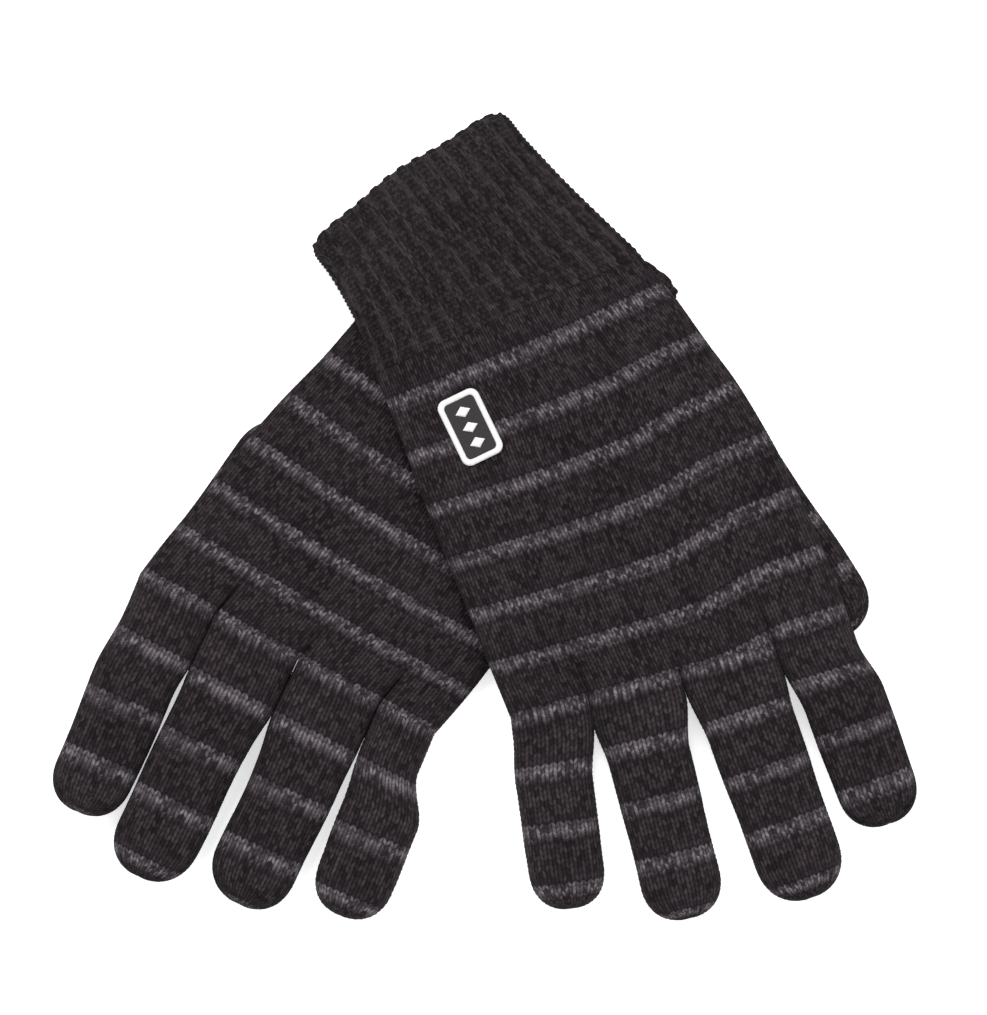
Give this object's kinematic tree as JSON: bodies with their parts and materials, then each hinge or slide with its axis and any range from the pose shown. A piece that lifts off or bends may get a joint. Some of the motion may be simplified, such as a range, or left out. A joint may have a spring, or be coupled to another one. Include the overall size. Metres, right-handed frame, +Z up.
{
  "type": "knitted touchscreen gloves",
  "caption": "Pair of fine-knit gloves with ribbed cuffs, thin stripes and conductive index and thumb tips, lying flat and crossed with thumbs tucked under.",
  "frame": {"origin": "middle of the pair's outline, on the table that the gloves lie on", "axes": "+Z up from the table, +Y towards the cuffs, +X towards the right glove's fingers"},
  "size_m": [0.2574, 0.2438, 0.0263],
  "materials": {
    "striped_knit": "fine stockinette knit, charcoal melange with thin mauve-grey stripes",
    "ribbed_knit": "ribbed knit, charcoal melange",
    "touch_knit": "stockinette knit with conductive yarn, matt",
    "elastic_thread": "covered elastic thread",
    "linking_yarn": "twisted yarn",
    "badge_cloth": "plain woven twill",
    "badge_thread": "satin-stitch embroidery thread",
    "label_satin": "blank woven satin"
  },
  "bodies": {
    "left_glove": {"left_hand": "striped_knit", "left_cuff": "ribbed_knit", "left_cuff_elastic": "elastic_thread", "left_web_tacks": "linking_yarn"},
    "left_index_finger": {"left_index_base": "striped_knit"},
    "left_index_fingertip": {"left_index_tip": "striped_knit", "left_index_touch_cap": "touch_knit"},
    "left_middle_finger": {"left_middle_base": "striped_knit"},
    "left_middle_fingertip": {"left_middle_tip": "striped_knit"},
    "left_ring_finger": {"left_ring_base": "striped_knit"},
    "left_ring_fingertip": {"left_ring_tip": "striped_knit"},
    "left_little_finger": {"left_little_base": "striped_knit"},
    "left_little_fingertip": {"left_little_tip": "striped_knit"},
    "left_thumb_tube": {"left_thumb": "striped_knit", "left_thumb_touch_cap": "touch_knit"},
    "right_glove": {"right_hand": "striped_knit", "right_web_tacks": "linking_yarn", "right_badge_patch": "badge_cloth", "right_badge_embroidery": "badge_thread"},
    "right_wrist_cuff": {"right_cuff": "ribbed_knit", "right_cuff_elastic": "elastic_thread", "right_care_label": "label_satin"},
    "right_index_finger": {"right_index_base": "striped_knit"},
    "right_index_fingertip": {"right_index_tip": "striped_knit", "right_index_touch_cap": "touch_knit"},
    "right_middle_finger": {"right_middle_base": "striped_knit"},
    "right_middle_fingertip": {"right_middle_tip": "striped_knit"},
    "right_ring_finger": {"right_ring_base": "striped_knit"},
    "right_ring_fingertip": {"right_ring_tip": "striped_knit"},
    "right_little_finger": {"right_little_base": "striped_knit"},
    "right_little_fingertip": {"right_little_tip": "striped_knit"},
    "right_thumb_tube": {"right_thumb": "striped_knit", "right_thumb_touch_cap": "touch_knit"}
  },
  "joints": [
    {"name": "left_index_knuckle", "type": "hinge", "parent": "left_glove", "child": "left_index_finger", "pos_m": [-0.09376, -0.02468, 0.0232], "axis": [-0.9171, 0.3987, 0], "range_deg": [0, 80]},
    {"name": "left_index_fold", "type": "hinge", "parent": "left_index_finger", "child": "left_index_fingertip", "pos_m": [-0.10748, -0.05623, 0.01753], "axis": [-0.9171, 0.3987, 0], "range_deg": [0, 75]},
    {"name": "left_middle_knuckle", "type": "hinge", "parent": "left_glove", "child": "left_middle_finger", "pos_m": [-0.06846, -0.03771, 0.02064], "axis": [-0.8949, 0.4462, 0], "range_deg": [0, 80]},
    {"name": "left_middle_fold", "type": "hinge", "parent": "left_middle_finger", "child": "left_middle_fingertip", "pos_m": [-0.08588, -0.07264, 0.01527], "axis": [-0.8949, 0.4462, 0], "range_deg": [0, 75]},
    {"name": "left_ring_knuckle", "type": "hinge", "parent": "left_glove", "child": "left_ring_finger", "pos_m": [-0.04397, -0.05153, 0.01622], "axis": [-0.91, 0.4147, 0], "range_deg": [0, 80]},
    {"name": "left_ring_fold", "type": "hinge", "parent": "left_ring_finger", "child": "left_ring_fingertip", "pos_m": [-0.05851, -0.08344, 0.01398], "axis": [-0.91, 0.4147, 0], "range_deg": [0, 75]},
    {"name": "left_little_knuckle", "type": "hinge", "parent": "left_glove", "child": "left_little_finger", "pos_m": [-0.02047, -0.0647, 0.0122], "axis": [-0.9239, 0.3827, 0], "range_deg": [0, 80]},
    {"name": "left_little_fold", "type": "hinge", "parent": "left_little_finger", "child": "left_little_fingertip", "pos_m": [-0.03164, -0.09168, 0.0122], "axis": [-0.9239, 0.3827, 0], "range_deg": [0, 75]},
    {"name": "left_thumb_swing", "type": "hinge", "parent": "left_glove", "child": "left_thumb_tube", "pos_m": [-0.06291, 0.01315, 0.005], "axis": [0, 0, -1], "range_deg": [0, 55]},
    {"name": "right_glove_lift", "type": "slide", "parent": "left_glove", "child": "right_glove", "axis": [0, 0, 1], "range_m": [0, 0.08]},
    {"name": "right_cuff_fold", "type": "hinge", "parent": "right_glove", "child": "right_wrist_cuff", "pos_m": [0.00702, 0.05951, 0.0252], "axis": [0.9167, 0.3995, 0], "range_deg": [0, 80]},
    {"name": "right_index_knuckle", "type": "hinge", "parent": "right_glove", "child": "right_index_finger", "pos_m": [0.10051, -0.0357, 0.0232], "axis": [-0.9409, -0.3387, 0], "range_deg": [0, 80]},
    {"name": "right_index_fold", "type": "hinge", "parent": "right_index_finger", "child": "right_index_fingertip", "pos_m": [0.11054, -0.06357, 0.0148], "axis": [-0.9409, -0.3387, 0], "range_deg": [0, 75]},
    {"name": "right_middle_knuckle", "type": "hinge", "parent": "right_glove", "child": "right_middle_finger", "pos_m": [0.0724, -0.04374, 0.02123], "axis": [-0.9409, -0.3387, 0], "range_deg": [0, 80]},
    {"name": "right_middle_fold", "type": "hinge", "parent": "right_middle_finger", "child": "right_middle_fingertip", "pos_m": [0.08494, -0.07859, 0.01348], "axis": [-0.9409, -0.3387, 0], "range_deg": [0, 75]},
    {"name": "right_ring_knuckle", "type": "hinge", "parent": "right_glove", "child": "right_ring_finger", "pos_m": [0.04408, -0.05122, 0.01662], "axis": [-0.9711, -0.2385, 0], "range_deg": [0, 80]},
    {"name": "right_ring_fold", "type": "hinge", "parent": "right_ring_finger", "child": "right_ring_fingertip", "pos_m": [0.05257, -0.08575, 0.01337], "axis": [-0.9711, -0.2385, 0], "range_deg": [0, 75]},
    {"name": "right_little_knuckle", "type": "hinge", "parent": "right_glove", "child": "right_little_finger", "pos_m": [0.01807, -0.05985, 0.01495], "axis": [-0.9907, -0.1357, 0], "range_deg": [0, 80]},
    {"name": "right_little_fold", "type": "hinge", "parent": "right_little_finger", "child": "right_little_fingertip", "pos_m": [0.02191, -0.0879, 0.0122], "axis": [-0.9907, -0.1357, 0], "range_deg": [0, 75]},
    {"name": "right_thumb_swing", "type": "hinge", "parent": "right_glove", "child": "right_thumb_tube", "pos_m": [0.07204, 0.01709, 0.005], "axis": [0, 0, 1], "range_deg": [0, 55]}
  ]
}
